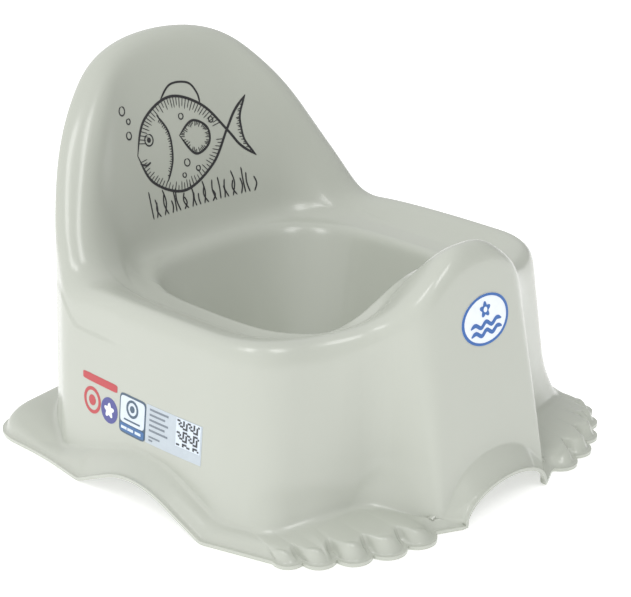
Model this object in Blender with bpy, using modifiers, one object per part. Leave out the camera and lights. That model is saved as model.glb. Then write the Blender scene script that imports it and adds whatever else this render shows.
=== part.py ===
"""One-piece potty chair: a thin moulded shell on four rubber feet, with its stick-on labels.

Metres, +Z up.  The child faces -Y.  The origin is on the ground, under the middle of the bounding box.
The shell is one lofted sheet.  Each ring below is a closed outline around the bowl, and every ring has the
same number of points, so that the loft runs straight from the middle of the bowl, over the seat and the
backrest, down the skirt and out to the bottom edge.
"""
import bmesh
import bpy
import numpy as np
from mathutils import Vector
from mathutils.bvhtree import BVHTree

MM = 0.001

# Driving dimensions, in millimetres.
WALL = 2.0              # thickness of the moulded shell
GROUND_GAP = 0.5        # the shell's edge stands this high, on its rubber feet
LIP = 2.2               # width of the flange around the bottom edge
BOWL_CENTRE_Y = 8.0
BOWL_FLOOR_Z = 16.0
BOWL_FLOOR_SIZE = (46.0, 50.0, 54.0)    # half width, reach to the front, reach to the back
BOWL_LIP_SIZE = (79.5, 86.0, 81.0)
BOWL_POWER = 3.0        # how square the lip is in plan: 2 is an ellipse
LIP_Z = 98.0
LIP_RISE = 26.0         # the lip climbs the guard by this much in front
LIP_RISE_WIDTH = 58.0

# The loft's columns, from the middle of the front round to the middle of the back, with the number of
# points that each gets: front arch, guard corner, inside and outside of the leg recess, leg corner,
# front end, middle and rear end of the side arch, heel side, heel corner, heel end, rear arch.
TOE_STEPS = 4
COLUMN_STEPS = (3, 3, 6, 7, 7, 2, 5, 2, 2, 4, 3, 4)

# Outlines: x, y, z of each corner and how far its rounding runs along the two legs.
FOOT_Z = GROUND_GAP + WALL
CREST_OUTER = (
    (14, -119, 147, 10), (38, -118, 131, 12), (58, -102, 109, 10), (81, -88, 105, 10),
    (113, -75, 107, 16), (125, -52, 108.5, 10), (126.5, 0, 109, 30), (127, 44, 108, 10),
    (128, 78, 104, 13), (114, 103, 142, 28), (90, 125.5, 191, 30), (44.5, 148, 227.2, 50),
)
CREST_INNER = (
    (12, -102, 146, 9), (30, -100, 131, 12), (50, -91, 111, 14), (77, -78, 107, 14), (103, -64, 108, 18),
    (111, -46, 108, 10), (112, 0, 108, 30), (112, 44, 108, 10), (110, 72, 109, 16), (95, 91, 144, 28),
    (71, 108.5, 188, 28), (38, 129, 226.5, 40),
)
BORDER_FOOT = (
    (14, -92, 131, 8), (28, -91, 125, 12), (44, -87, 107, 14), (69, -72, 100, 14), (93, -54, 100, 18),
    (99, -41, 100, 10), (102, 0, 100, 30), (102, 44, 100, 10), (96, 71, 103, 16), (80, 98, 140, 30),
    (61, 113, 181, 28), (36, 127.5, 210, 36),
)
BACK_FOOT = (
    (12, -86, 126, 8), (26, -85.5, 121, 12), (42, -81, 107, 14), (66, -66, 98.5, 14), (85, -46, 98, 18),
    (88, -34, 98, 10), (88, 0, 98, 30), (88, 40, 98, 10), (84, 66, 98.5, 16), (70, 88, 100, 20),
    (46, 97, 102, 20), (22, 100, 103, 20),
)
WALL_LOW = (
    (22, -135, 40, 8), (45, -134.5, 32, 5), (57, -102, 28, 10), (90, -95, 28, 10), (121, -82, 28, 13),
    (133, -57, 25, 10), (135.3, -5, 37, 30), (134.8, 46, 24, 10), (132.8, 79.5, 18, 6), (115, 110, 27, 26),
    (83, 135, 34, 26), (38, 146, 38, 30),
)
WALL_FOOT = (
    (22, -136, 32, 22), (46, -138.5, 6, 5), (70, -105, 12.5, 16), (97, -101, 13, 12), (126, -89, 9.5, 12),
    (134.5, -58, 9, 12), (134.6, -5, 33, 40), (134.6, 48, 16, 12), (133.8, 79, 5.5, 5),
    (116, 112, 12, 24), (83, 137, 13.5, 14), (38, 146.5, 30, 30),
)
FRONT_EDGE_Y = -148.0
REAR_EDGE_Y = 148.0
FRONT_ARCH = (36.0, 18.0)       # half width, rise
REAR_ARCH = (80.0, 14.0)
SIDE_EDGE = (
    (148, -58, FOOT_Z, 2.5), (150, -5, 26, 45), (149.5, 46, FOOT_Z, 2.5), (145.5, 84, FOOT_Z, 16),
    (147, 138, FOOT_Z, 27),
)

# The toes of a front foot, big toe first: centre x, centre y, radius.
TOES = (
    (62.8, -135.6, 11.5), (82, -131.6, 11.5), (99.6, -124.3, 10.7), (115.2, -114.4, 9.7), (126.6, -103.4, 9),
)
TOE_START = (51.0, -140.5)
TOE_END = (135.0, -99.0)
TOE_GROOVE = 2.0        # depth of the groove between two toes

# Where the upper edge of the bottom band lies between the wall's foot and the bottom edge, by column:
# the share of the way in plan, and the share of the height.
BAND_PLAN = (0.5, 0.4, 0.16, 0.14, 0.16, 0.4, 0.5, 0.4, 0.14, 0.1, 0.14, 0.5)
BAND_HEIGHT = (0.5, 0.7, 0.8, 0.8, 0.8, 0.7, 0.5, 0.6, 0.85, 0.88, 0.85, 0.5)

# Rounding where the wall meets its foot, by column: soft over the feet, a crease over the arches.
FOOT_FLARE = (1.5, 2, 4, 4, 4, 3, 1.5, 1.5, 3, 4, 3, 1.5)

# Labels: thin films close against the shell.
FILM = 0.3
FILM_GAP = 0.3
MERGE = 0.01
OUTSIDE = 170.0                     # well outside the shell, where the films' rays start
FRONT_LABEL_CENTRE = (2.5, 105.5)   # x, z
FRONT_LABEL_SIZE = (20.0, 14.0)
DECAL_CENTRE = (0.0, 157.0)
DECAL_SIZE = (52.0, 39.0)
DECAL_START_Y = 60.0
PICTOGRAM_BOX = ((26.5, 34.5), (59.0, 61.0))        # low and high (y, z)
CERTIFICATE_BOX = ((-43.0, 35.0), (24.5, 59.0))

# Rubber feet.
PAD_RADIUS = 8.5
PAD_GAP = 0.4
PAD_EDGE = 0.8
FOOT_PLACES = {"front": (90.0, -112.0), "rear": (116.0, 117.0)}


def towards(start, end, reach):
    """The point at a distance from start on the way to end, at most halfway."""
    leg = end - start
    length = np.linalg.norm(leg, axis=-1, keepdims=True)
    share = np.minimum(0.5, np.asarray(reach)[..., None] / np.maximum(length, 1e-9))
    return start + leg * share


def rounded(corners, reaches, steps):
    """Points along a line through corners, with each inner corner rounded off by a parabola."""
    line = [corners[0]]
    for index in range(1, len(corners) - 1):
        corner = corners[index]
        start = towards(corner, corners[index - 1], reaches[index - 1])
        end = towards(corner, corners[index + 1], reaches[index - 1])
        for step in range(steps[index - 1]):
            t = (step + 0.5) / steps[index - 1]
            line.append((1 - t) ** 2 * start + 2 * t * (1 - t) * corner + t ** 2 * end)
    line.append(corners[-1])
    return line


def ring(table, steps=COLUMN_STEPS):
    """A half outline from the mirror plane in front to the mirror plane behind."""
    table = np.array(table, dtype=float)
    corners = table[:, :3]
    mirrored = (-1, 1, 1)
    line = np.array(rounded([corners[0] * mirrored, *corners, corners[-1] * mirrored], table[:, 3], steps))
    line[0] = corners[0] * (0, 1, 1)
    line[-1] = corners[-1] * (0, 1, 1)
    return line


def circle_crossing(one, two):
    """The outer crossing of two toe circles."""
    centre = np.array(one[:2])
    apart = np.array(two[:2]) - centre
    distance = np.linalg.norm(apart)
    along = (distance ** 2 + one[2] ** 2 - two[2] ** 2) / (2 * distance)
    across = np.sqrt(one[2] ** 2 - along ** 2)
    direction = apart / distance
    return centre + direction * along + np.array((direction[1], -direction[0])) * across


def toe_line():
    """The scalloped front of the foot: a valley, then an arc, for each toe."""
    valleys = [np.array(TOE_START)]
    valleys += [circle_crossing(one, two) for one, two in zip(TOES, TOES[1:])]
    valleys.append(np.array(TOE_END))
    points = []
    for toe, start, end in zip(TOES, valleys, valleys[1:]):
        centre = np.array(toe[:2])
        first = np.arctan2(*(start - centre)[::-1])
        last = np.arctan2(*(end - centre)[::-1])
        if last < first:
            last += 2 * np.pi
        for step in range(TOE_STEPS):
            share = step / TOE_STEPS
            angle = first + (last - first) * share
            radius = np.linalg.norm(start - centre) * (1 - share) + np.linalg.norm(end - centre) * share
            bulge = 1 if step == 0 else toe[2] / radius
            points.append(centre + np.array((np.cos(angle), np.sin(angle))) * radius * bulge)
    return np.array([(x, y, FOOT_Z) for x, y in points])


def arch(size, y, steps):
    """A quarter ellipse over an opening in the skirt, from the mirror plane to the ground."""
    angles = np.linspace(0, np.pi / 2, steps)
    half_width, rise = size
    return np.column_stack((half_width * np.sin(angles), np.full(steps, y), FOOT_Z + rise * np.cos(angles)))


def edge_ring():
    """The bottom edge: front arch, toes, side arch, heel and rear arch."""
    front = arch(FRONT_ARCH, FRONT_EDGE_Y, 1 + sum(COLUMN_STEPS[:2]))
    rear = arch(REAR_ARCH, REAR_EDGE_Y, 1 + sum(COLUMN_STEPS[-2:]))[::-1]
    toes = toe_line()
    side = np.array(SIDE_EDGE, dtype=float)
    side = rounded([toes[-1], *side[:, :3], rear[0]], side[:, 3], COLUMN_STEPS[5:-2])[1:-1]
    return np.array([*front, *toes, *side, *rear])


def by_column(values):
    """One value for each point of a half outline, blended from one value for each column."""
    middles = np.cumsum(COLUMN_STEPS) - np.array(COLUMN_STEPS) / 2 + 0.5
    return np.interp(np.arange(sum(COLUMN_STEPS) + 2), middles, values)


def outward(outline):
    """Unit vectors in plan, square to an outline and away from the bowl."""
    mirrored = (-1, 1, 1)
    padded = np.vstack((outline[1] * mirrored, outline, outline[-2] * mirrored))
    along = padded[2:] - padded[:-2]
    normal = np.column_stack((along[:, 1], -along[:, 0], np.zeros(len(along))))
    return normal / np.linalg.norm(normal, axis=1, keepdims=True)


def bowl_ring(guide, size, power, height):
    """An egg-shaped ring whose points lie in the directions of a guide outline's points."""
    half_width, front, back = size
    aim = guide[:, :2] - (0.0, BOWL_CENTRE_Y)
    reach = np.where(aim[:, 1] < 0, front, back)
    share = np.abs(aim[:, 0] / half_width) ** power + np.abs(aim[:, 1] / reach) ** power
    plan = aim * share[:, None] ** (-1 / power) + (0.0, BOWL_CENTRE_Y)
    return np.column_stack((plan, np.full(len(plan), height)))


def bowl_lip(guide):
    """The bowl's lip, which climbs the guard in front."""
    lip = bowl_ring(guide, BOWL_LIP_SIZE, BOWL_POWER, LIP_Z)
    narrow = np.clip(1 - (lip[:, 0] / LIP_RISE_WIDTH) ** 2, 0, 1)
    lip[:, 2] += np.where(lip[:, 1] < BOWL_CENTRE_Y, LIP_RISE * narrow ** 1.3, 0)
    return lip


def body_grid():
    """The shell's outer surface as rows of points, from the bowl's middle to the bottom edge."""
    crest = ring(CREST_OUTER)
    foot = ring(WALL_FOOT)
    edge = edge_ring()
    bottom = edge - outward(edge) * LIP
    band = bottom + (foot - bottom) * by_column(BAND_PLAN)[:, None]
    band[:, 2] = bottom[:, 2] + (foot - bottom)[:, 2] * by_column(BAND_HEIGHT)
    first_toe = 1 + sum(COLUMN_STEPS[:2])
    band[first_toe:first_toe + len(TOES) * TOE_STEPS:TOE_STEPS, 2] -= TOE_GROOVE
    middle = np.tile((0.0, BOWL_CENTRE_Y, BOWL_FLOOR_Z), (len(crest), 1))
    rings = [
        middle,
        bowl_ring(crest, BOWL_FLOOR_SIZE, 2, BOWL_FLOOR_Z),
        bowl_lip(crest),
        ring(BACK_FOOT),
        ring(BORDER_FOOT),
        ring(CREST_INNER),
        crest,
        ring(WALL_LOW),
        foot,
        band,
        bottom,
        edge,
    ]
    reaches = [14, 7, 8, 8, 9, 12, 10, by_column(FOOT_FLARE), 5, 1.2]
    steps = [2, 3, 2, 2, 2, 3, 1, 2, 2, 1]
    reaches = [np.broadcast_to(np.asarray(reach, dtype=float), len(crest)) for reach in reaches]
    return np.array(rounded(rings, reaches, steps))


def new_collection(name):
    collection = bpy.data.collections.new(name)
    bpy.context.scene.collection.children.link(collection)
    return collection


def plain_material(name, colour, roughness):
    material = bpy.data.materials.new(name)
    material.use_nodes = True
    shader = material.node_tree.nodes["Principled BSDF"]
    shader.inputs["Base Color"].default_value = (*colour, 1)
    shader.inputs["Roughness"].default_value = roughness
    shader.inputs["Metallic"].default_value = 0
    return material


def new_part(collection, name, mesh, material):
    part = bpy.data.objects.new(name, mesh)
    part.data.materials.append(material)
    collection.objects.link(part)
    return part


def mesh_from(name, build):
    """A mesh datablock filled by a function that takes a bmesh."""
    mesh = bmesh.new()
    build(mesh)
    data = bpy.data.meshes.new(name)
    mesh.to_mesh(data)
    mesh.free()
    return data


def make_body(collection):
    """The moulded shell: the +X half of the loft, mirrored, then given its wall thickness underneath."""
    grid = body_grid()

    def loft(mesh):
        middle = mesh.verts.new(grid[0][0] * MM)
        rows = [[mesh.verts.new(point * MM) for point in row] for row in grid[1:]]
        for one, two in zip(rows[0], rows[0][1:]):
            mesh.faces.new((middle, one, two))
        for inner, outer in zip(rows, rows[1:]):
            for index in range(len(inner) - 1):
                mesh.faces.new((inner[index], outer[index], outer[index + 1], inner[index + 1]))

    material = plain_material("pearl_plastic", (0.72, 0.73, 0.68), 0.25)
    body = new_part(collection, "potty_body", mesh_from("potty_body", loft), material)
    mirror = body.modifiers.new("both_sides", "MIRROR")
    mirror.merge_threshold = 0.0001
    shell = body.modifiers.new("wall", "SOLIDIFY")
    shell.thickness = WALL * MM
    shell.offset = -1
    body.data.shade_smooth()
    return body


def surface_of(body):
    """The body's finished surface, for laying films and feet against it."""
    bpy.context.view_layer.update()
    return BVHTree.FromObject(body, bpy.context.evaluated_depsgraph_get())


def make_film(collection, surface, name, grid, direction, material):
    """A thin film that lies against the body.

    grid holds rows of points in front of the body; each is moved along direction until it meets the body.
    """
    direction = Vector(direction)

    def lay(mesh):
        rows = []
        for row in grid:
            hits = [surface.ray_cast(Vector(point) * MM, direction)[0] for point in row]
            rows.append([mesh.verts.new(hit - direction * FILM_GAP * MM) for hit in hits])
        for one, two in zip(rows, rows[1:]):
            for index in range(len(one) - 1):
                mesh.faces.new((one[index], one[index + 1], two[index + 1], two[index]))
        bmesh.ops.remove_doubles(mesh, verts=mesh.verts, dist=MERGE * MM)
        mesh.normal_update()
        if next(iter(mesh.faces)).normal.dot(direction) > 0:
            bmesh.ops.reverse_faces(mesh, faces=mesh.faces)

    film = new_part(collection, name, mesh_from(name, lay), material)
    thickness = film.modifiers.new("thickness", "SOLIDIFY")
    thickness.thickness = FILM * MM
    thickness.offset = 1
    return film


def oval_grid(centre, half_width, half_height, y, rings, spokes):
    """Rings of points for an oval facing -Y, from its middle out."""
    angles = np.linspace(0, 2 * np.pi, spokes + 1)
    shares = np.linspace(0, 1, rings + 1)
    across = half_width * np.outer(shares, np.sin(angles)) + centre[0]
    up = half_height * np.outer(shares, np.cos(angles)) + centre[1]
    return np.dstack((across, np.full_like(across, y), up))


def side_grid(low, high, columns, rows):
    """A rectangle of points facing -X, from its low to its high (y, z) corner."""
    return [[(-OUTSIDE, y, z) for y in np.linspace(low[0], high[0], columns + 1)]
            for z in np.linspace(low[1], high[1], rows + 1)]


def make_labels(collection, surface):
    paper = plain_material("label_film", (0.80, 0.86, 0.95), 0.35)
    pictograms = plain_material("pictogram_film", (0.70, 0.20, 0.18), 0.35)
    print_ink = plain_material("print_ink", (0.05, 0.05, 0.05), 0.5)
    front = oval_grid(FRONT_LABEL_CENTRE, *FRONT_LABEL_SIZE, -OUTSIDE, 3, 24)
    make_film(collection, surface, "front_label", front, (0, 1, 0), paper)
    decal = oval_grid(DECAL_CENTRE, *DECAL_SIZE, DECAL_START_Y, 6, 24)
    make_film(collection, surface, "backrest_decal", decal, (0, 1, 0), print_ink)
    icons = side_grid(*PICTOGRAM_BOX, 5, 3)
    make_film(collection, surface, "side_label_pictograms", icons, (1, 0, 0), pictograms)
    certificate = side_grid(*CERTIFICATE_BOX, 6, 3)
    make_film(collection, surface, "side_label_certificate", certificate, (1, 0, 0), paper)


def make_feet(collection, surface):
    """Rubber grip pads under the four foot lobes, from the ground to just below the shell."""
    rubber = plain_material("grip_rubber", (0.25, 0.25, 0.24), 0.8)
    for place, (x, y) in FOOT_PLACES.items():
        for side, sign in (("left", -1), ("right", 1)):
            around = [(sign * x + PAD_RADIUS * np.cos(turn), y + PAD_RADIUS * np.sin(turn), 0)
                      for turn in np.linspace(0, 2 * np.pi, 24, endpoint=False)]
            hits = [surface.ray_cast(Vector(point) * MM, (0, 0, 1))[0] for point in around]
            height = min(hit.z for hit in hits) - PAD_GAP * MM
            bpy.ops.mesh.primitive_cylinder_add(vertices=32, radius=PAD_RADIUS * MM, depth=height)
            pad = bpy.context.object
            pad.name = f"anti_slip_foot_{place}_{side}"
            pad.data.name = pad.name
            pad.location = (sign * x * MM, y * MM, height / 2)
            pad.data.materials.append(rubber)
            pad.data.set_sharp_from_angle(angle=np.radians(40))
            edge = pad.modifiers.new("edge", "BEVEL")
            edge.width = PAD_EDGE * MM
            edge.segments = 2
            for owner in list(pad.users_collection):
                owner.objects.unlink(pad)
            collection.objects.link(pad)


def main():
    for item in list(bpy.data.objects):
        bpy.data.objects.remove(item)
    collection = new_collection("potty_chair")
    body = make_body(collection)
    surface = surface_of(body)
    make_labels(collection, surface)
    make_feet(collection, surface)


main()
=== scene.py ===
"""Looks of the one-piece potty chair: the finished moulding, its rubber feet, labels and printed drawing."""

from math import atan2, cos, pi, radians, sin

import bmesh
import bpy
import numpy as np
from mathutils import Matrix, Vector
from mathutils.bvhtree import BVHTree


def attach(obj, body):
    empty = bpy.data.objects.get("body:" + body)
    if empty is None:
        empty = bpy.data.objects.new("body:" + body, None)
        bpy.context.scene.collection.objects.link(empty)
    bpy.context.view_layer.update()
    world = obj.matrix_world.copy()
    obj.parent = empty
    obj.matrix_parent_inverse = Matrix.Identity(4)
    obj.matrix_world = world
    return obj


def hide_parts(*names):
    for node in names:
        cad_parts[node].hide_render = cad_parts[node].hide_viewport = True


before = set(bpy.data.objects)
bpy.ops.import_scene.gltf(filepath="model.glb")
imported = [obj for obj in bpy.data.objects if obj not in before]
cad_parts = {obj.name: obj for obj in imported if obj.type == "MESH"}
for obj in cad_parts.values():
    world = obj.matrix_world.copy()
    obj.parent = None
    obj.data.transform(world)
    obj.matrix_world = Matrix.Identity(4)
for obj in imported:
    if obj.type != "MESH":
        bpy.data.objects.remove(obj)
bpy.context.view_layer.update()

MM = 0.001
FINE = 4            # points on a rounding here, for each point in the CAD model
TOE_FINE = 8        # the same, for the columns that run over the toes
SPACING = 2.6       # longest gap between two neighbouring points of the moulding, in millimetres

# ---------------------------------------------------------------------------------------------------------
# The moulding's own dimensions, in millimetres, as in the CAD model.
# ---------------------------------------------------------------------------------------------------------
WALL = 2.0
GROUND_GAP = 0.5
LIP = 2.2
FOOT_Z = GROUND_GAP + WALL
BOWL_CENTRE_Y = 8.0
BOWL_FLOOR_Z = 16.0
BOWL_FLOOR_SIZE = (46.0, 50.0, 54.0)
BOWL_LIP_SIZE = (79.5, 86.0, 81.0)
BOWL_POWER = 3.0        # how square the lip is in plan: 2 is an ellipse
LIP_Z = 98.0
LIP_RISE = 26.0         # the lip climbs the guard by this much in front
LIP_RISE_WIDTH = 58.0

# Columns of the loft from the middle of the front to the middle of the back: front arch and guard corner;
# inside and outside of the leg recess, and leg corner; front end, middle and rear end of the side arch,
# heel side, heel corner, heel end and rear arch.
FRONT_STEPS = (3 * FINE, 3 * FINE)
LEG_STEPS = (6 * TOE_FINE, 7 * TOE_FINE, 7 * TOE_FINE)
REAR_STEPS = (2 * FINE, 5 * FINE, 2 * FINE, 2 * FINE, 4 * FINE, 3 * FINE, 4 * FINE)
COLUMN_STEPS = FRONT_STEPS + LEG_STEPS + REAR_STEPS
TOE_STEPS = 4 * TOE_FINE

# Outlines: x, y, z of each corner and how far its rounding runs along the two legs.
CREST_OUTER = (
    (14, -119, 147, 10), (38, -118, 131, 12), (58, -102, 109, 10), (81, -88, 105, 10),
    (113, -75, 107, 16), (125, -52, 108.5, 10), (126.5, 0, 109, 30), (127, 44, 108, 10),
    (128, 78, 104, 13), (114, 103, 142, 28), (90, 125.5, 191, 30), (44.5, 148, 227.2, 50),
)
CREST_INNER = (
    (12, -102, 146, 9), (30, -100, 131, 12), (50, -91, 111, 14), (77, -78, 107, 14), (103, -64, 108, 18),
    (111, -46, 108, 10), (112, 0, 108, 30), (112, 44, 108, 10), (110, 72, 109, 16), (95, 91, 144, 28),
    (71, 108.5, 188, 28), (38, 129, 226.5, 40),
)
BORDER_FOOT = (
    (14, -92, 131, 8), (28, -91, 125, 12), (44, -87, 107, 14), (69, -72, 100, 14), (93, -54, 100, 18),
    (99, -41, 100, 10), (102, 0, 100, 30), (102, 44, 100, 10), (96, 71, 103, 16), (80, 98, 140, 30),
    (61, 113, 181, 28), (36, 127.5, 210, 36),
)
BACK_FOOT = (
    (12, -86, 126, 8), (26, -85.5, 121, 12), (42, -81, 107, 14), (66, -66, 98.5, 14), (85, -46, 98, 18),
    (88, -34, 98, 10), (88, 0, 98, 30), (88, 40, 98, 10), (84, 66, 98.5, 16), (70, 88, 100, 20),
    (46, 97, 102, 20), (22, 100, 103, 20),
)
WALL_LOW = (
    (22, -135, 40, 8), (45, -134.5, 32, 5), (57, -102, 28, 10), (90, -95, 28, 10), (121, -82, 28, 13),
    (133, -57, 25, 10), (135.3, -5, 37, 30), (134.8, 46, 24, 10), (132.8, 79.5, 18, 6), (115, 110, 27, 26),
    (83, 135, 34, 26), (38, 146, 38, 30),
)
WALL_FOOT = (
    (22, -136, 32, 22), (46, -138.5, 6, 5), (70, -105, 12.5, 16), (97, -101, 13, 12), (126, -89, 9.5, 12),
    (134.5, -58, 9, 12), (134.6, -5, 33, 40), (134.6, 48, 16, 12), (133.8, 79, 5.5, 5),
    (116, 112, 12, 24), (83, 137, 13.5, 14), (38, 146.5, 30, 30),
)
FRONT_EDGE_Y = -148.0
REAR_EDGE_Y = 148.0
FRONT_ARCH = (36.0, 18.0)       # half width, rise
REAR_ARCH = (80.0, 14.0)
SIDE_EDGE = (
    (148, -58, FOOT_Z, 2.5), (150, -5, 26, 45), (149.5, 46, FOOT_Z, 2.5), (145.5, 84, FOOT_Z, 16),
    (147, 138, FOOT_Z, 27),
)

# The toes of a front foot, big toe first: centre x, centre y, radius.
TOES = (
    (62.8, -135.6, 11.5), (82, -131.6, 11.5), (99.6, -124.3, 10.7), (115.2, -114.4, 9.7), (126.6, -103.4, 9),
)
TOE_START = (51.0, -140.5)
TOE_END = (135.0, -99.0)

# Where the upper edge of the bottom band lies between the wall's foot and the bottom edge, by column:
# the share of the way in plan, and the share of the height.
BAND_PLAN = (0.5, 0.4, 0.16, 0.14, 0.16, 0.4, 0.5, 0.4, 0.14, 0.1, 0.14, 0.5)
BAND_HEIGHT = (0.5, 0.7, 0.8, 0.8, 0.8, 0.7, 0.5, 0.6, 0.85, 0.88, 0.85, 0.5)

# Rounding where the wall meets its foot, by column: soft over the feet, a crease over the arches.
FOOT_FLARE = (1.5, 2, 4, 4, 4, 3, 1.5, 1.5, 3, 4, 3, 1.5)

# ---------------------------------------------------------------------------------------------------------
# Finer shapes of the moulding that only show here.
# ---------------------------------------------------------------------------------------------------------
SEAT_SMOOTHING = 30         # rounds of smoothing between the bowl's lip and the crest
SHELL_SMOOTHING = 5         # and over the walls too
NOTCH_SMOOTHING = 12        # and between the guard's foot and the big toe
GROOVE_DEPTH = 0.7          # groove between two toes, as a share of the foot's height
GROOVE_LENGTH = 9.5
GROOVE_FADE = 4.0
GROOVE_SHARPNESS = 2.5
OUTER_GROOVE = 0.15         # how much of a groove ends the row of toes at either side
BEAD_REACH = 6.4            # from the bottom edge to the middle of the bead on each toe
BEAD_SIZE = (6.2, 3.6)      # half width, half length
BEAD_HEIGHT = 1.2
PLATE_TOP = 12.0            # the toes' shapes fade out above this height
SHARP_ANGLE = 40.0

# The side panel stands proud of the shell above it, along a line that climbs towards the back.
PANEL_TOP = 84.0
PANEL_CLIMB = 16.0
PANEL_CLIMB_Y = (64.0, 88.0)
PANEL_STEP = 0.9
PANEL_EDGE = 2.4                # width of the step
PANEL_WALL_X = 100.0            # only the side walls lie beyond this
PANEL_FADES = ((18.0, 50.0), (10.0, 34.0), (88.0, 112.0))       # over y in front, over z above, over y behind

# ---------------------------------------------------------------------------------------------------------
# Labels and printing: (u, v) is (x, z) on the guard and the backrest, and (y, z) on the left side.
# ---------------------------------------------------------------------------------------------------------
OUTSIDE = 170.0             # well outside the shell, where rays that look for its surface start
BACKREST_START = 60.0       # y above the bowl, where rays towards the backrest start
FILM = 0.12                 # thickness of a film or a layer of print
LAYER = 0.16                # height of one layer of print over the layer under it
MERGE = 0.01
STROKE_END = 0.12           # share of a drawn line over which each end narrows
FRONT_LABEL_CENTRE = (2.5, 105.5)
FRONT_LABEL_SIZE = (20.0, 14.0)
EYE = (-31.0, 165.0)
WAVE = ((-13, 0), (-9, 1.2), (-4.5, -1.2), (0, 1.2), (4.5, -1.2), (9, 1.2), (13, 0))

# ---------------------------------------------------------------------------------------------------------
# Finish, light and view, in metres and watts.
# ---------------------------------------------------------------------------------------------------------
PEARL = (0.502, 0.524, 0.466)
PEARL_DEEP = (0.490, 0.512, 0.454)
COAT_ROUGHNESS = 0.12
RELIEF_DEPTH = 0.00003
FLOOR_SIZE = 8.0
FLOOR_GLOW = 0.48
WORLD_AXIS = (-125.0, 30.0)             # azimuth and elevation of the brightest direction
WORLD_FROM, WORLD_TO = -0.9, 0.9        # how squarely a direction points to it
WORLD_DIM, WORLD_BRIGHT = 0.3, 1.02
SOFTBOX_DISTANCE = 1.5
SOFTBOXES = (
    ("softbox_left", -75, 55, (0.3, 0.6), 3.2),
    ("softbox_right", -15, 55, (0.3, 0.6), 3.2),
)
VIEW_CENTRE = (-0.0078, -0.0058, 0.0876)
CAMERA_AZIMUTH = -45.3
CAMERA_ELEVATION = 21.3
CAMERA_DISTANCE = 0.944
CAMERA_LENS = 91.28


def towards(start, end, reach):
    """The point at a distance from start on the way to end, at most halfway."""
    leg = end - start
    length = np.linalg.norm(leg, axis=-1, keepdims=True)
    share = np.minimum(0.5, np.asarray(reach)[..., None] / np.maximum(length, 1e-9))
    return start + leg * share


def rounded(corners, reaches, steps):
    """Points along a line through corners, with each inner corner rounded off by a parabola."""
    line = [corners[0]]
    for index in range(1, len(corners) - 1):
        corner = corners[index]
        start = towards(corner, corners[index - 1], reaches[index - 1])
        end = towards(corner, corners[index + 1], reaches[index - 1])
        for step in range(steps[index - 1]):
            t = (step + 0.5) / steps[index - 1]
            line.append((1 - t) ** 2 * start + 2 * t * (1 - t) * corner + t ** 2 * end)
    line.append(corners[-1])
    return line


def ring(table, steps=COLUMN_STEPS):
    """A half outline from the mirror plane in front to the mirror plane behind."""
    table = np.array(table, dtype=float)
    corners = table[:, :3]
    mirrored = (-1, 1, 1)
    line = np.array(rounded([corners[0] * mirrored, *corners, corners[-1] * mirrored], table[:, 3], steps))
    line[0] = corners[0] * (0, 1, 1)
    line[-1] = corners[-1] * (0, 1, 1)
    return line


def circle_crossing(one, two):
    """The outer crossing of two toe circles."""
    centre = np.array(one[:2])
    apart = np.array(two[:2]) - centre
    distance = np.linalg.norm(apart)
    along = (distance ** 2 + one[2] ** 2 - two[2] ** 2) / (2 * distance)
    across = np.sqrt(one[2] ** 2 - along ** 2)
    direction = apart / distance
    return centre + direction * along + np.array((direction[1], -direction[0])) * across


def toe_line():
    """The scalloped front of the foot: a valley, then an arc, for each toe."""
    valleys = [np.array(TOE_START)]
    valleys += [circle_crossing(one, two) for one, two in zip(TOES, TOES[1:])]
    valleys.append(np.array(TOE_END))
    points = []
    for toe, start, end in zip(TOES, valleys, valleys[1:]):
        centre = np.array(toe[:2])
        first = np.arctan2(*(start - centre)[::-1])
        last = np.arctan2(*(end - centre)[::-1])
        if last < first:
            last += 2 * np.pi
        for step in range(TOE_STEPS):
            share = step / TOE_STEPS
            angle = first + (last - first) * share
            radius = np.linalg.norm(start - centre) * (1 - share) + np.linalg.norm(end - centre) * share
            bulge = 1 if step == 0 else toe[2] / radius
            points.append(centre + np.array((np.cos(angle), np.sin(angle))) * radius * bulge)
    return np.array([(x, y, FOOT_Z) for x, y in points])


def arch(size, y, steps):
    """A quarter ellipse over an opening in the skirt, from the mirror plane to the ground."""
    angles = np.linspace(0, np.pi / 2, steps)
    half_width, rise = size
    return np.column_stack((half_width * np.sin(angles), np.full(steps, y), FOOT_Z + rise * np.cos(angles)))


def edge_ring():
    """The bottom edge: front arch, toes, side arch, heel and rear arch."""
    front = arch(FRONT_ARCH, FRONT_EDGE_Y, 1 + sum(COLUMN_STEPS[:2]))
    rear = arch(REAR_ARCH, REAR_EDGE_Y, 1 + sum(COLUMN_STEPS[-2:]))[::-1]
    toes = toe_line()
    side = np.array(SIDE_EDGE, dtype=float)
    side = rounded([toes[-1], *side[:, :3], rear[0]], side[:, 3], COLUMN_STEPS[5:-2])[1:-1]
    return np.array([*front, *toes, *side, *rear])


def by_column(values):
    """One value for each point of a half outline, blended from one value for each column."""
    middles = np.cumsum(COLUMN_STEPS) - np.array(COLUMN_STEPS) / 2 + 0.5
    return np.interp(np.arange(sum(COLUMN_STEPS) + 2), middles, values)


def outward(outline):
    """Unit vectors in plan, square to an outline and away from the bowl."""
    mirrored = (-1, 1, 1)
    padded = np.vstack((outline[1] * mirrored, outline, outline[-2] * mirrored))
    along = padded[2:] - padded[:-2]
    normal = np.column_stack((along[:, 1], -along[:, 0], np.zeros(len(along))))
    return normal / np.linalg.norm(normal, axis=1, keepdims=True)


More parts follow.
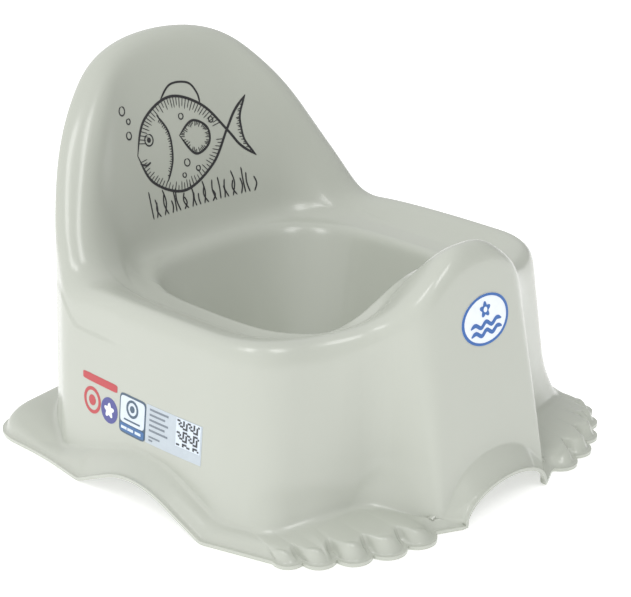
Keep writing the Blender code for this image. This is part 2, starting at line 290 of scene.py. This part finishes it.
def bowl_ring(guide, size, power, height):
    """An egg-shaped ring whose points lie in the directions of a guide outline's points."""
    half_width, front, back = size
    aim = guide[:, :2] - (0.0, BOWL_CENTRE_Y)
    reach = np.where(aim[:, 1] < 0, front, back)
    share = np.abs(aim[:, 0] / half_width) ** power + np.abs(aim[:, 1] / reach) ** power
    plan = aim * share[:, None] ** (-1 / power) + (0.0, BOWL_CENTRE_Y)
    return np.column_stack((plan, np.full(len(plan), height)))


def bowl_lip(guide):
    """The bowl's lip, which climbs the guard in front."""
    lip = bowl_ring(guide, BOWL_LIP_SIZE, BOWL_POWER, LIP_Z)
    narrow = np.clip(1 - (lip[:, 0] / LIP_RISE_WIDTH) ** 2, 0, 1)
    lip[:, 2] += np.where(lip[:, 1] < BOWL_CENTRE_Y, LIP_RISE * narrow ** 1.3, 0)
    return lip


# Points on each rounding down the loft: bowl floor, bowl lip, back's foot, border's foot, inner crest, outer
# crest, low wall, wall's foot, band, bottom.
ROW_STEPS = (8, 12, 8, 8, 8, 12, 4, 8, 14, 4)
# Smoothing comes and goes over these rows.
SEAT_ROWS = (sum(ROW_STEPS[:2]) + 1, sum(ROW_STEPS[:3]), sum(ROW_STEPS[:4]) + 1, sum(ROW_STEPS[:5]) + 1)
SHELL_ROWS = (sum(ROW_STEPS[:6]) + 1, sum(ROW_STEPS[:7]) + 1)
NOTCH_ROWS = (sum(ROW_STEPS[:7]) - 2, sum(ROW_STEPS[:7]) + 3, sum(ROW_STEPS[:9]) - 4, sum(ROW_STEPS[:9]) + 2)
NOTCH_COLUMNS = (FRONT_STEPS[0], sum(FRONT_STEPS) - 6, sum(FRONT_STEPS) + 8, sum(FRONT_STEPS) + 20)


def body_grid():
    """The shell's outer surface as rows of points, from the bowl's middle to the bottom edge."""
    crest = ring(CREST_OUTER)
    foot = ring(WALL_FOOT)
    edge = edge_ring()
    bottom = edge - outward(edge) * LIP
    band = bottom + (foot - bottom) * by_column(BAND_PLAN)[:, None]
    band[:, 2] = bottom[:, 2] + (foot - bottom)[:, 2] * by_column(BAND_HEIGHT)
    middle = np.tile((0.0, BOWL_CENTRE_Y, BOWL_FLOOR_Z), (len(crest), 1))
    rings = [
        middle,
        bowl_ring(crest, BOWL_FLOOR_SIZE, 2, BOWL_FLOOR_Z),
        bowl_lip(crest),
        ring(BACK_FOOT),
        ring(BORDER_FOOT),
        ring(CREST_INNER),
        crest,
        ring(WALL_LOW),
        foot,
        band,
        bottom,
        edge,
    ]
    reaches = [14, 7, 8, 8, 9, 12, 10, by_column(FOOT_FLARE), 5, 1.2]
    reaches = [np.broadcast_to(np.asarray(reach, dtype=float), len(crest)) for reach in reaches]
    return np.array(rounded(rings, reaches, ROW_STEPS))


def refined(rows):
    """Rows with more laid evenly between any two that lie too far apart, and the old place of each."""
    gaps = np.linalg.norm(np.diff(rows, axis=0), axis=2).max(axis=1)
    places = [0.0]
    for index, gap in enumerate(gaps):
        count = max(1, int(np.ceil(gap / SPACING)))
        places.extend(index + np.arange(1, count + 1) / count)
    places = np.array(places)
    low = np.minimum(places.astype(int), len(rows) - 2)
    share = (places - low)[:, None, None]
    return rows[low] * (1 - share) + rows[low + 1] * share, places


def smoothed(grid, weights, rounds):
    """The grid after some rounds of averaging with its neighbours, by a weight for each point."""
    mirrored = (-1, 1, 1)
    for _ in range(rounds):
        before = grid[:, 1:2] * mirrored
        after = grid[:, -2:-1] * mirrored
        padded = np.concatenate((before, grid, after), axis=1)
        level = (padded[:, :-2] + 2 * grid + padded[:, 2:]) / 4
        middle = (level[:-2] + 2 * level[1:-1] + level[2:]) / 4
        grid[1:-1] += (middle - grid[1:-1]) * weights[1:-1, :, None]
    return grid


def ease(value):
    """A smooth rise from 0 to 1."""
    value = np.clip(value, 0, 1)
    return value * value * (3 - 2 * value)


def with_panel_step(grid):
    """Sets the shell above each side panel back by a small step, which fades out."""
    y = grid[:, :, 1]
    z = grid[:, :, 2]
    climb_start, climb_end = PANEL_CLIMB_Y
    over = z - PANEL_TOP - PANEL_CLIMB * ease((y - climb_start) / (climb_end - climb_start))
    front, above, behind = PANEL_FADES
    amount = PANEL_STEP * ease(over / PANEL_EDGE + 0.5)
    amount *= ease((y - front[0]) / (front[1] - front[0]))
    amount *= 1 - ease((over - above[0]) / (above[1] - above[0]))
    amount *= 1 - ease((y - behind[0]) / (behind[1] - behind[0]))
    on_wall = grid[:, :, 0] > PANEL_WALL_X
    grid[:, :, 0] -= np.where(on_wall, amount, 0)
    return grid


def toe_shares():
    """For each column, the share of the way across its toe, and how much of a groove it lies in."""
    first = 1 + sum(FRONT_STEPS)
    count = len(TOES) * TOE_STEPS
    shares = np.zeros(sum(COLUMN_STEPS) + 2)
    grooves = np.zeros_like(shares)
    across = np.arange(count) % TOE_STEPS / TOE_STEPS
    shares[first:first + count] = across
    grooves[first:first + count] = np.abs(2 * across - 1) ** GROOVE_SHARPNESS
    grooves[first:first + TOE_STEPS // 2] *= OUTER_GROOVE
    grooves[first + count - TOE_STEPS // 2:first + count] *= OUTER_GROOVE
    return shares, grooves


def with_toes(grid, places):
    """Cuts the grooves between the toes and raises a soft bead on each."""
    old_places = np.arange(sum(COLUMN_STEPS) + 2)
    shares, grooves = toe_shares()
    grooves = np.interp(places, old_places, grooves)
    shares = shares[np.minimum(places.astype(int), len(shares) - 1)]
    on_toe = (places >= 1 + sum(FRONT_STEPS)) & (places < 1 + sum(FRONT_STEPS) + len(TOES) * TOE_STEPS)
    from_edge = np.linalg.norm(grid[:, :, :2] - grid[-1][None, :, :2], axis=2)
    height = grid[:, :, 2] - FOOT_Z
    fade = ease((GROOVE_LENGTH - from_edge) / GROOVE_FADE) * (1 - ease((height - PLATE_TOP) / PLATE_TOP))
    drop = np.clip(height, 0, PLATE_TOP) * GROOVE_DEPTH * grooves * fade
    width = 2 * np.mean([toe[2] for toe in TOES])
    across = (shares - 0.5) * width / BEAD_SIZE[0]
    along = (from_edge - BEAD_REACH) / BEAD_SIZE[1]
    bead = BEAD_HEIGHT * ease(1.15 - np.hypot(across, along)) * on_toe * (height < PLATE_TOP)
    grid[:, :, 2] += bead - drop
    return grid


def fine_grid():
    grid, row_places = refined(body_grid())
    grid, column_places = refined(grid.transpose(1, 0, 2))
    grid = grid.transpose(1, 0, 2).copy()
    everywhere = np.ones(len(column_places))
    seat = np.outer(np.interp(row_places, SEAT_ROWS, (0, 1, 1, 0)), everywhere)
    shell = np.outer(np.interp(row_places, SHELL_ROWS, (1, 0)), everywhere)
    notch = np.outer(np.interp(row_places, NOTCH_ROWS, (0, 1, 1, 0)),
                     np.interp(column_places, NOTCH_COLUMNS, (0, 1, 1, 0)))
    grid = smoothed(grid, seat, SEAT_SMOOTHING)
    grid = smoothed(grid, shell, SHELL_SMOOTHING)
    grid = smoothed(grid, notch, NOTCH_SMOOTHING)
    grid[:, 0, 0] = 0
    grid[:, -1, 0] = 0
    return with_toes(with_panel_step(grid), column_places)


def finished_mesh(piece):
    """Bakes a piece's modifiers into its mesh, and keeps its sharp edges crisp."""
    bpy.context.view_layer.update()
    seen = piece.evaluated_get(bpy.context.evaluated_depsgraph_get())
    mesh = bpy.data.meshes.new_from_object(seen)
    piece.modifiers.clear()
    piece.data = mesh
    mesh.name = piece.name
    mesh.shade_smooth()
    mesh.set_sharp_from_angle(angle=radians(SHARP_ANGLE))


def new_piece(name, mesh, material):
    """A piece of the object made from a bmesh, riding on the potty's one body."""
    data = bpy.data.meshes.new(name)
    mesh.to_mesh(data)
    mesh.free()
    piece = bpy.data.objects.new(name, data)
    bpy.context.scene.collection.objects.link(piece)
    piece.data.materials.append(material)
    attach(piece, "root")
    return piece


def make_body(material):
    """The moulding: half of the loft, mirrored, and given its wall thickness underneath."""
    grid = fine_grid() * MM
    mesh = bmesh.new()
    middle = mesh.verts.new(grid[0][0])
    rows = [[mesh.verts.new(point) for point in row] for row in grid[1:]]
    for one, two in zip(rows[0], rows[0][1:]):
        mesh.faces.new((middle, one, two))
    for inner, outer in zip(rows, rows[1:]):
        for index in range(len(inner) - 1):
            mesh.faces.new((inner[index], outer[index], outer[index + 1], inner[index + 1]))
    body = new_piece("potty_moulding", mesh, material)
    mirror = body.modifiers.new("both_sides", "MIRROR")
    mirror.merge_threshold = 0.00002
    shell = body.modifiers.new("wall", "SOLIDIFY")
    shell.thickness = WALL * MM
    shell.offset = -1
    finished_mesh(body)
    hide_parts("potty_body")
    return body


# ---------------------------------------------------------------------------------------------------------
# Flat artwork, laid on the shell.
# ---------------------------------------------------------------------------------------------------------
def disc(centre, size, inner=0.0, shape=None, spokes=72, rings=8):
    """Rows of points on ever larger copies of a closed outline: a circle, or a shape of the turn."""
    turns = np.linspace(0, 2 * pi, spokes + 1)
    reach = np.ones_like(turns) if shape is None else shape(turns)
    outline = np.column_stack((np.sin(turns) * reach, np.cos(turns) * reach)) * size
    return [outline * share + centre for share in np.linspace(inner, 1, rings + 1)]


def block(turns):
    """The outline of a rectangle with small round corners."""
    power = 9
    return (np.abs(np.sin(turns)) ** power + np.abs(np.cos(turns)) ** power) ** (-1 / power)


def flower(turns):
    return 0.8 + 0.2 * np.cos(5 * turns)


def bar(low, high, columns=12, rows=2):
    """A rectangle from its low to its high corner."""
    return [[(u, v) for u in np.linspace(low[0], high[0], columns + 1)]
            for v in np.linspace(low[1], high[1], rows + 1)]


def arc(centre, size, start, end, steps=40):
    """Points on part of an ellipse, from one turn to another in degrees, clockwise from the top."""
    turns = np.radians(np.linspace(start, end, steps + 1))
    return np.column_stack((np.sin(turns), np.cos(turns))) * size + centre


def flowing(points, steps=10):
    """A smooth line through a few points."""
    points = np.array([points[0], *points, points[-1]], dtype=float)
    line = []
    for before, start, end, after in zip(points, points[1:], points[2:], points[3:]):
        for t in np.arange(steps) / steps:
            bend = (2 * before - 5 * start + 4 * end - after) * t ** 2 + (3 * (start - end) + after - before) * t ** 3
            line.append(start + ((end - before) * t + bend) / 2)
    line.append(points[-1])
    return np.array(line)


def stroke(line, width):
    """A drawn line: a strip that narrows towards both ends."""
    line = np.asarray(line, dtype=float)
    along = np.gradient(line, axis=0)
    along /= np.linalg.norm(along, axis=1, keepdims=True)
    square = np.column_stack((along[:, 1], -along[:, 0]))
    share = np.linspace(0, 1, len(line))
    half = width / 2 * (0.35 + 0.65 * ease(np.minimum(share, 1 - share) / STROKE_END))
    edge = square * half[:, None]
    return np.stack((line - edge, line, line + edge), axis=1)


SIGHTS = {
    "guard": (lambda u, v: (u, -OUTSIDE, v), Vector((0, 1, 0))),
    "backrest": (lambda u, v: (u, BACKREST_START, v), Vector((0, 1, 0))),
    "side": (lambda u, v: (-OUTSIDE, u, v), Vector((1, 0, 0))),
}


def lay(name, patches, sight, layer, surface, material):
    """Patches of artwork laid on the shell as one thin closed piece, some layers above it."""
    start, direction = SIGHTS[sight]
    lift = direction * (layer * LAYER + 0.04) * MM
    mesh = bmesh.new()
    for patch in patches:
        rows = []
        for row in patch:
            hits = [surface.ray_cast(Vector(start(u, v)) * MM, direction)[0] for u, v in row]
            rows.append([mesh.verts.new(hit - lift) for hit in hits])
        for one, two in zip(rows, rows[1:]):
            for index in range(len(one) - 1):
                mesh.faces.new((one[index], one[index + 1], two[index + 1], two[index]))
        laid = [vertex for row in rows for vertex in row]
        bmesh.ops.remove_doubles(mesh, verts=laid, dist=MERGE * MM)
    mesh.normal_update()
    for face in mesh.faces:
        if face.normal.dot(direction) > 0:
            face.normal_flip()
    film = new_piece(name, mesh, material)
    thickness = film.modifiers.new("thickness", "SOLIDIFY")
    thickness.thickness = FILM * MM
    thickness.offset = 1
    finished_mesh(film)
    return film


# ---------------------------------------------------------------------------------------------------------
# Materials.
# ---------------------------------------------------------------------------------------------------------
def paint(red, green, blue):
    """A linear colour from its usual 0 to 255 values."""
    return tuple((value / 255 / 12.92) if value < 10.3 else ((value / 255 + 0.055) / 1.055) ** 2.4
                 for value in (red, green, blue))


def toned(name, colours, roughness, grain, relief=0.0, relief_grain=500.0, coat=0.0):
    """A material whose colour and roughness drift between two values, with a fine relief."""
    material = bpy.data.materials.new(name)
    material.use_nodes = True
    nodes = material.node_tree.nodes
    link = material.node_tree.links.new
    shader = nodes["Principled BSDF"]
    shader.inputs["Coat Weight"].default_value = coat
    shader.inputs["Coat Roughness"].default_value = COAT_ROUGHNESS
    place = nodes.new("ShaderNodeTexCoord")
    drift = nodes.new("ShaderNodeTexNoise")
    drift.inputs["Scale"].default_value = grain
    drift.inputs["Detail"].default_value = 3
    link(place.outputs["Object"], drift.inputs["Vector"])
    ramp = nodes.new("ShaderNodeValToRGB")
    for stop, position, colour in zip(ramp.color_ramp.elements, (0.25, 0.75), colours):
        stop.position = position
        stop.color = (*colour, 1)
    link(drift.outputs["Fac"], ramp.inputs["Fac"])
    link(ramp.outputs["Color"], shader.inputs["Base Color"])
    gloss = nodes.new("ShaderNodeMapRange")
    gloss.inputs["From Min"].default_value = 0.3
    gloss.inputs["From Max"].default_value = 0.7
    gloss.inputs["To Min"].default_value = roughness[0]
    gloss.inputs["To Max"].default_value = roughness[1]
    link(drift.outputs["Fac"], gloss.inputs["Value"])
    link(gloss.outputs["Result"], shader.inputs["Roughness"])
    if relief:
        pores = nodes.new("ShaderNodeTexNoise")
        pores.inputs["Scale"].default_value = relief_grain
        link(place.outputs["Object"], pores.inputs["Vector"])
        bump = nodes.new("ShaderNodeBump")
        bump.inputs["Strength"].default_value = relief
        bump.inputs["Distance"].default_value = RELIEF_DEPTH
        link(pores.outputs["Fac"], bump.inputs["Height"])
        link(bump.outputs["Normal"], shader.inputs["Normal"])
    return material


def pearl_plastic():
    return toned("pearl_plastic", (PEARL, PEARL_DEEP), (0.22, 0.27), 9, relief=0.25, coat=0.2)


def grip_rubber():
    return toned("grip_rubber", (paint(132, 130, 122), paint(112, 110, 104)), (0.7, 0.85), 300, relief=0.5)


def film(name, red, green, blue):
    """A printed film: satin, with a faint unevenness in its colour."""
    colour = paint(red, green, blue)
    paler = tuple(min(1.0, value * 1.06 + 0.004) for value in colour)
    return toned(name, (colour, paler), (0.3, 0.4), 220)


# ---------------------------------------------------------------------------------------------------------
# Labels and the printed drawing: plain shapes only.
# ---------------------------------------------------------------------------------------------------------
def make_front_label(surface):
    """An oval label with a coloured rim, a small flower and two waves."""
    centre = np.array(FRONT_LABEL_CENTRE)
    blue = film("label_blue", 40, 98, 172)
    white = film("label_white", 236, 242, 250)
    paper = lay("front_label_film", [disc(centre, FRONT_LABEL_SIZE)], "guard", 0, surface, white)
    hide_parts("front_label")
    rim = disc(centre, FRONT_LABEL_SIZE, inner=0.9, rings=2)
    blossom = disc(centre + (0, 5.5), (4.6, 4.6), shape=flower, rings=4)
    waves = [stroke(flowing([centre + (u, v + rise) for u, rise in WAVE]), 2.2) for v in (-2.5, -7)]
    lay("front_label_print", [rim, blossom, *waves], "guard", 1, surface, blue)
    middle = disc(centre + (0, 5.5), (1.5, 1.5), rings=2)
    lay("front_label_blossom", [middle], "guard", 2, surface, white)


def make_side_pictograms(surface):
    """A red bar over a red ring and a violet disc."""
    red = film("print_red", 186, 66, 72)
    violet = film("print_violet", 76, 78, 146)
    white = film("print_white", 232, 236, 240)
    heading = disc((43, 58.3), (16, 2.3), shape=block, rings=2)
    ring_shape = disc((49.8, 44.9), (8, 8), inner=0.74, rings=2)
    dot = disc((49.8, 44.9), (3.2, 3.2), rings=2)
    reds = lay("side_print_red", [heading, ring_shape, dot], "side", 0, surface, red)
    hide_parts("side_label_pictograms")
    lay("side_print_violet", [disc((33.6, 43.8), (7.6, 7.6), rings=4)], "side", 0, surface, violet)
    petals = disc((33.6, 43.8), (4.6, 4.6), shape=flower, rings=3)
    lay("side_print_petals", [petals], "side", 1, surface, white)


def code_cells(low, high, count):
    """A plain square pattern of dark cells."""
    width = (high[0] - low[0]) / count
    height = (high[1] - low[1]) / count
    cells = []
    for row in range(count):
        for column in range(count):
            if (3 * row * row + 5 * column + row * column) % 7 < 3:
                corner = (low[0] + column * width, low[1] + row * height)
                cells.append(bar(corner, (corner[0] + width, corner[1] + height), 1, 1))
    return cells


def make_side_certificate(surface):
    """A pale strip with grey lines and a patterned square, beside a framed badge."""
    pale = film("strip_pale", 188, 198, 206)
    white = film("badge_white", 214, 224, 234)
    slate = film("badge_slate", 70, 92, 112)
    blue = film("badge_blue", 60, 106, 160)
    grey = film("strip_grey", 120, 130, 140)
    dark = film("code_dark", 50, 54, 58)
    strip = lay("certificate_strip", [bar((-43, 36), (1, 58.5), 18, 9)], "side", 0, surface, pale)
    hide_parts("side_label_certificate")
    lines = [bar((-17 + 2.5 * (row % 2), 55.5 - 3 * row), (-2, 56.6 - 3 * row), 8, 1) for row in range(5)]
    lines += [bar((-11 + 6 * (row % 2), 39.8 - 2 * row), (-2, 40.7 - 2 * row), 5, 1) for row in range(2)]
    lay("certificate_lines", lines, "side", 1, surface, grey)
    lay("certificate_square", [bar((-42, 42), (-23.4, 58.3), 9, 9)], "side", 1, surface, white)
    cells = code_cells((-41.2, 42.8), (-24.2, 57.6), 15)
    lay("certificate_cells", cells, "side", 2, surface, dark)

    badge = np.array((12.7, 46.8))
    lay("badge_frame", [disc(badge, (11.6, 11.7), shape=block)], "side", 0, surface, slate)
    lay("badge_face", [disc(badge + (0, 2.6), (10.5, 7.9), shape=block)], "side", 1, surface, white)
    foot = disc(badge - (0, 8.2), (10.5, 2.4), shape=block)
    lay("badge_foot", [foot], "side", 1, surface, blue)
    leaf = disc(badge + (0, 4.4), (5.2, 5.2), inner=0.72, rings=2)
    core = disc(badge + (0, 4.4), (2.0, 2.0), rings=2)
    rules = [bar(badge + (-7, -3.4), badge + (7, -2.5), 6, 1)]
    lay("badge_mark", [leaf, core, *rules], "side", 2, surface, slate)
    marks = [bar(badge + (start, -9), badge + (start + 5, -7.4), 3, 1) for start in (-8, -1.5, 4.2)]
    lay("badge_marks", marks, "side", 2, surface, white)


def hatching(line, centre, span, count, reach):
    """Short thin strokes from a stretch of a line towards a centre."""
    strokes = []
    for number, share in enumerate(np.linspace(*span, count)):
        foot = line[int(share * (len(line) - 1))]
        aim = (centre - foot) / np.linalg.norm(centre - foot)
        length = reach * (1 - 0.35 * (number % 3) / 2)
        strokes.append((np.linspace(foot, foot + aim * length, 6), 0.55))
    return strokes


def fish_lines():
    """A plain line drawing of a fish over some water plants: lines and their widths."""
    middle = np.array((-6.0, 158.0))
    fin_middle = np.array((6.0, 160.0))
    back = flowing([(-43, 158), (-32, 177), (-8, 187), (16, 178), (32, 160), (40, 149), (50, 141)])
    belly = flowing([(-43, 158), (-34, 140), (-10, 130), (16, 141), (32, 160), (40, 170), (50, 179)])
    tail = flowing([(50, 179), (44, 168), (43, 160), (44, 151), (50, 141)])
    top_fin = flowing([(-16, 186), (-6, 194), (8, 193), (14, 186), (15, 179)])
    side_fin = flowing([(-6, 163), (6, 170), (17, 164), (16, 154), (4, 150), (-6, 163)])
    gill = flowing([(-21, 178), (-14, 166), (-15, 150), (-22, 138)])
    lines = [(back, 1.7), (belly, 1.7), (tail, 1.4), (top_fin, 1.3), (side_fin, 1.5), (gill, 1.3)]
    lines.append((flowing([(-42, 153), (-37, 151), (-33, 152)]), 1.2))
    lines.append((arc(EYE, (3.4, 3.4), 0, 360), 0.9))
    lines += hatching(back, middle, (0.08, 0.62), 52, 7)
    lines += hatching(belly, middle, (0.06, 0.62), 46, 6)
    lines += hatching(side_fin, fin_middle, (0.02, 0.98), 40, 3.6)
    lines += hatching(gill, middle - (30, 0), (0.1, 0.9), 24, 2.6)
    lines += hatching(tail, middle, (0.05, 0.95), 22, 3)
    for x, z, reach in ((21, 168, 1.7), (-4, 146, 2.2), (4, 141, 1.6), (-2, 174, 1.8), (-8, 139, 1.4)):
        lines.append((arc((x, z), (reach, reach), 0, 360, 20), 0.8))
    for x, z, reach in ((-47, 171, 2.2), (-45, 179, 1.6), (-49, 186, 2.6)):
        lines.append((arc((x, z), (reach, reach), 0, 360, 20), 0.9))
    for number, x in enumerate(np.linspace(-40, 44, 26)):
        lean = 3 * sin(2.6 * number)
        top = 129 + 4 * cos(1.9 * number) + 3 * abs(x) / 44
        lines.append((flowing([(x, 119), (x + lean, (119 + top) / 2), (x + lean / 2, top)]), 1.0))
    return lines


def make_drawing(surface):
    ink = film("print_black", 44, 44, 46)
    patches = [stroke(line, width) for line, width in fish_lines()]
    patches.append(disc(EYE, (1.6, 1.6), rings=2))
    drawing = lay("backrest_drawing", patches, "backrest", 0, surface, ink)
    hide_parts("backrest_decal")


# ---------------------------------------------------------------------------------------------------------
# Rubber feet: the CAD pieces, with a better material.
# ---------------------------------------------------------------------------------------------------------
def dress_feet():
    rubber = grip_rubber()
    for name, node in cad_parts.items():
        if name.startswith("anti_slip_foot"):
            node.data.materials.clear()
            node.data.materials.append(rubber)


# ---------------------------------------------------------------------------------------------------------
# Studio: a white floor, surroundings that are brightest on one side, and two softboxes.
# ---------------------------------------------------------------------------------------------------------
def direction_to(azimuth, elevation):
    """A unit vector from the potty; azimuth 0 is in front of it and 90 to its right."""
    turn = radians(azimuth)
    rise = radians(elevation)
    return Vector((sin(turn) * cos(rise), -cos(turn) * cos(rise), sin(rise)))


def make_floor():
    mesh = bmesh.new()
    bmesh.ops.create_grid(mesh, x_segments=8, y_segments=8, size=FLOOR_SIZE / 2)
    data = bpy.data.meshes.new("studio_floor")
    mesh.to_mesh(data)
    mesh.free()
    floor = bpy.data.objects.new("studio_floor", data)
    floor.location.z = -0.0002
    bpy.context.scene.collection.objects.link(floor)
    material = toned("studio_floor", ((0.95, 0.95, 0.95), (0.94, 0.94, 0.94)), (0.8, 0.9), 3)
    shader = material.node_tree.nodes["Principled BSDF"]
    shader.inputs["Specular IOR Level"].default_value = 0
    shader.inputs["Emission Color"].default_value = (1, 1, 1, 1)
    shader.inputs["Emission Strength"].default_value = FLOOR_GLOW
    floor.data.materials.append(material)


def make_surroundings():
    """White surroundings, brightest on one side."""
    world = bpy.data.worlds.new("studio")
    world.use_nodes = True
    bpy.context.scene.world = world
    nodes = world.node_tree.nodes
    link = world.node_tree.links.new
    place = nodes.new("ShaderNodeTexCoord")
    facing = nodes.new("ShaderNodeVectorMath")
    facing.operation = "DOT_PRODUCT"
    facing.inputs[1].default_value = direction_to(*WORLD_AXIS)
    link(place.outputs["Generated"], facing.inputs[0])
    level = nodes.new("ShaderNodeMapRange")
    level.interpolation_type = "SMOOTHSTEP"
    level.inputs["From Min"].default_value = WORLD_FROM
    level.inputs["From Max"].default_value = WORLD_TO
    level.inputs["To Min"].default_value = WORLD_DIM
    level.inputs["To Max"].default_value = WORLD_BRIGHT
    link(facing.outputs["Value"], level.inputs["Value"])
    background = nodes["Background"]
    background.inputs["Color"].default_value = (1, 1, 1, 1)
    link(level.outputs["Result"], background.inputs["Strength"])


def make_softbox(name, azimuth, elevation, size, watts):
    light = bpy.data.lights.new(name, "AREA")
    light.shape = "RECTANGLE"
    light.size, light.size_y = size
    light.energy = watts
    box = bpy.data.objects.new(name, light)
    towards_box = direction_to(azimuth, elevation)
    box.location = Vector(VIEW_CENTRE) + towards_box * SOFTBOX_DISTANCE
    box.rotation_euler = towards_box.to_track_quat("Z", "Y").to_euler()
    bpy.context.scene.collection.objects.link(box)


def make_camera():
    camera = bpy.data.cameras.new("camera")
    camera.sensor_width = 36
    camera.lens = CAMERA_LENS
    seen = bpy.data.objects.new("camera", camera)
    back = direction_to(CAMERA_AZIMUTH, CAMERA_ELEVATION)
    seen.location = Vector(VIEW_CENTRE) + back * CAMERA_DISTANCE
    seen.rotation_euler = back.to_track_quat("Z", "Y").to_euler()
    bpy.context.scene.collection.objects.link(seen)
    bpy.context.scene.camera = seen


def main():
    body = make_body(pearl_plastic())
    bpy.context.view_layer.update()
    surface = BVHTree.FromObject(body, bpy.context.evaluated_depsgraph_get())
    make_front_label(surface)
    make_side_pictograms(surface)
    make_side_certificate(surface)
    make_drawing(surface)
    dress_feet()
    make_floor()
    make_surroundings()
    for name, azimuth, elevation, size, watts in SOFTBOXES:
        make_softbox(name, azimuth, elevation, size, watts)
    make_camera()
    bpy.context.scene.view_settings.view_transform = "Standard"


main()
